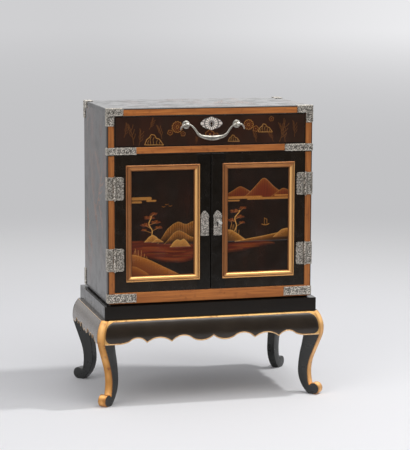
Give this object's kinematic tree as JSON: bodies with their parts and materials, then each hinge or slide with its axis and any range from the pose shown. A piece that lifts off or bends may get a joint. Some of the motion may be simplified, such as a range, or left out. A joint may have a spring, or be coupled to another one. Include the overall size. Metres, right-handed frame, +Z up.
{
  "type": "cabinet on stand",
  "caption": "Lacquered cabinet with a drawer above hinged panel doors, metal mounts and gilt mouldings, on a low stand with bulging scalloped aprons and S-shaped scroll legs.",
  "frame": {"origin": "floor level, under the middle of the stand", "axes": "+Z up, the front faces -Y, +X to the right of someone facing the front"},
  "size_m": [0.4486, 0.2746, 0.563],
  "materials": {
    "lacquer_black": "glossy black lacquer",
    "lacquer_brown": "glossy brown-black lacquer",
    "gold_facing": "worn gold lacquer",
    "gilt": "gilded wood",
    "interior_wood": "plain matt wood",
    "mount_metal": "engraved pale metal",
    "lock_metal": "dark iron"
  },
  "bodies": {
    "cabinet": {"stand_rail_front": "lacquer_black", "stand_rail_back": "lacquer_black", "stand_rail_left": "lacquer_black", "stand_rail_right": "lacquer_black", "leg_front_left": "lacquer_black", "leg_front_right": "lacquer_black", "leg_back_left": "lacquer_black", "leg_back_right": "lacquer_black", "apron_back": "lacquer_black", "apron_left": "lacquer_black", "apron_right": "lacquer_black", "case_side_left": "lacquer_black", "case_side_right": "lacquer_black", "case_top": "lacquer_black", "case_bottom": "lacquer_black", "case_back": "lacquer_black", "case_base": "lacquer_black", "front_stile_left": "gold_facing", "front_stile_right": "gold_facing", "front_rail_top": "gold_facing", "front_rail_middle": "gold_facing", "front_rail_bottom": "gold_facing", "apron_front": "gilt", "dust_board": "interior_wood", "cupboard_shelf": "interior_wood", "shelf_cleats": "interior_wood", "door_stops": "interior_wood", "top_corner_mounts": "mount_metal", "rail_straps": "mount_metal", "foot_straps": "mount_metal", "back_corner_mounts": "mount_metal", "hinge_case_leaves": "mount_metal", "hinge_pins": "mount_metal"},
    "drawer": {"drawer_front": "lacquer_brown", "drawer_sides": "interior_wood", "drawer_back": "interior_wood", "drawer_bottom": "interior_wood", "drawer_lock": "lock_metal", "drawer_escutcheon": "mount_metal", "handle_posts": "mount_metal", "handle_nuts": "mount_metal"},
    "bail": {"bail_handle": "mount_metal"},
    "drawer_bolt": {"drawer_lock_bolt": "lock_metal"},
    "left_door": {"left_door_hinge_stile": "lacquer_black", "left_door_meeting_stile": "lacquer_black", "left_door_rails": "lacquer_black", "left_door_panel": "lacquer_black", "left_door_moulding": "gilt", "left_hinge_door_leaves": "mount_metal", "left_lock_plate": "mount_metal"},
    "right_door": {"right_door_hinge_stile": "lacquer_black", "right_door_meeting_stile": "lacquer_black", "right_door_rails": "lacquer_black", "right_door_panel": "lacquer_black", "right_door_moulding": "gilt", "right_hinge_door_leaves": "mount_metal", "right_lock_plate": "mount_metal", "door_lock": "lock_metal"},
    "door_bolt": {"door_lock_bolt": "lock_metal"},
    "cover": {"keyhole_cover": "mount_metal"}
  },
  "joints": [
    {"name": "drawer_slide", "type": "slide", "parent": "cabinet", "child": "drawer", "axis": [0, -1, 0], "range_m": [0, 0.15]},
    {"name": "left_door_hinge", "type": "hinge", "parent": "cabinet", "child": "left_door", "pos_m": [-0.187, -0.1159, 0.3455], "axis": [0, 0, -1], "range_deg": [0, 180]},
    {"name": "right_door_hinge", "type": "hinge", "parent": "cabinet", "child": "right_door", "pos_m": [0.187, -0.1159, 0.3455], "axis": [0, 0, 1], "range_deg": [0, 180]},
    {"name": "bail_swing", "type": "hinge", "parent": "drawer", "child": "bail", "pos_m": [0, -0.1225, 0.5305], "axis": [-1, 0, 0], "range_deg": [0, 120]},
    {"name": "drawer_bolt_slide", "type": "slide", "parent": "drawer", "child": "drawer_bolt", "axis": [0, 0, 1], "range_m": [0, 0.006]},
    {"name": "door_bolt_slide", "type": "slide", "parent": "right_door", "child": "door_bolt", "axis": [-1, 0, 0], "range_m": [0, 0.006]},
    {"name": "cover_swing", "type": "hinge", "parent": "right_door", "child": "cover", "pos_m": [0.01275, -0.1148, 0.3472], "axis": [0, 1, 0], "range_deg": [0, 100]}
  ]
}
